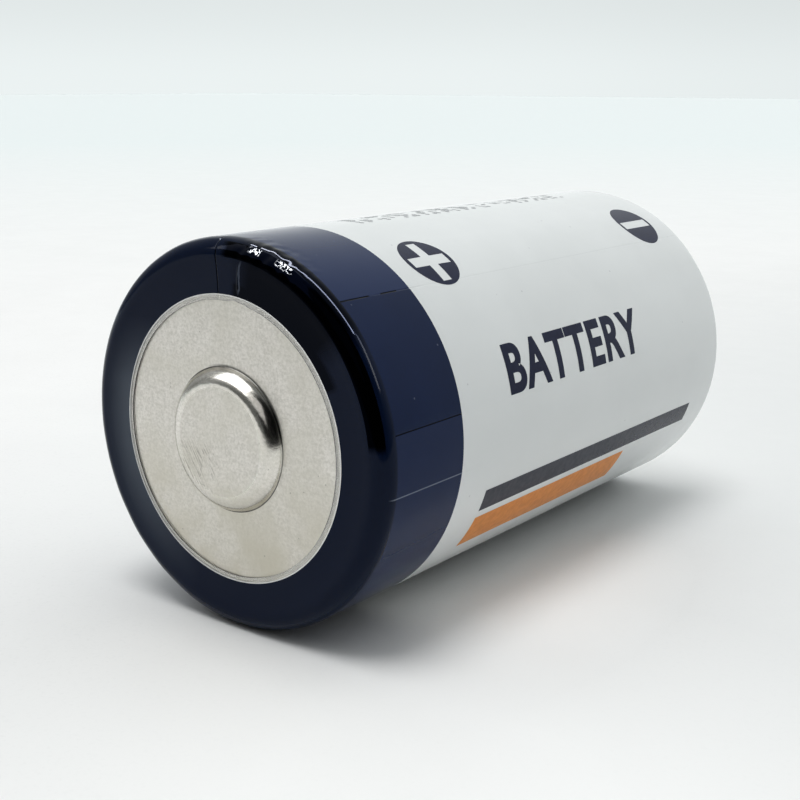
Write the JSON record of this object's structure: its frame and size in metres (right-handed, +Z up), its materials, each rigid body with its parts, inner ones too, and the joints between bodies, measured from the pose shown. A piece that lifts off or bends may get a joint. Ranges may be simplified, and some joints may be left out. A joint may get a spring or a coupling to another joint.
{
  "type": "cylindrical lithium battery cell",
  "caption": "D-size cylindrical lithium cell: a welded steel can in a printed shrink sleeve, with a raised positive button, a flat negative contact, and its electrodes and glass seal inside.",
  "frame": {"origin": "centre of the negative contact face, on the cell's axis", "axes": "+Y along the cell's axis, out of the negative contact; the positive button faces -Y; +Z is up with the cell lying on its side and the printed marks upward and to +X"},
  "size_m": [0.0338, 0.0615, 0.0338],
  "materials": {
    "printed_film": "glossy shrink film, pale grey with a navy band at the positive end",
    "nickel_plate": "satin nickel plate, polished at the button's edge",
    "ring_plastic": "moulded, dull black",
    "resin": "poured resin, dark amber",
    "stainless_steel": "drawn stainless steel",
    "sealing_glass": "fused glass, dark green",
    "post_alloy": "drawn nickel-iron tube",
    "ball_steel": "polished ball",
    "plug_steel": "turned",
    "fluoropolymer": "waxy white",
    "nickel_ribbon": "rolled strip",
    "nickel_mesh": "expanded metal",
    "carbon": "pressed porous carbon, dull black",
    "glass_fibre": "non-woven glass-fibre paper",
    "lithium": "rolled soft metal foil",
    "bottom_disc_plastic": "thin sheet",
    "nickel_plated_steel": "bright nickel plate on deep-drawn steel"
  },
  "bodies": {
    "root": {"shrink_sleeve": "printed_film", "positive_cap": "nickel_plate", "top_insulator_ring": "ring_plastic", "seal_potting": "resin", "header_cover": "stainless_steel", "glass_seal": "sealing_glass", "feedthrough_tube": "post_alloy", "fill_ball": "ball_steel", "fill_plug": "plug_steel", "header_insulator": "fluoropolymer", "collector_tab": "nickel_ribbon", "cathode_collector": "nickel_mesh", "cathode_top_disc": "glass_fibre", "carbon_cathode": "carbon", "separator_tube": "glass_fibre", "bottom_separator": "glass_fibre", "lithium_anode": "lithium", "anode_edge_ring": "glass_fibre", "bottom_insulator": "bottom_disc_plastic", "steel_can": "nickel_plated_steel"}
  },
  "joints": []
}
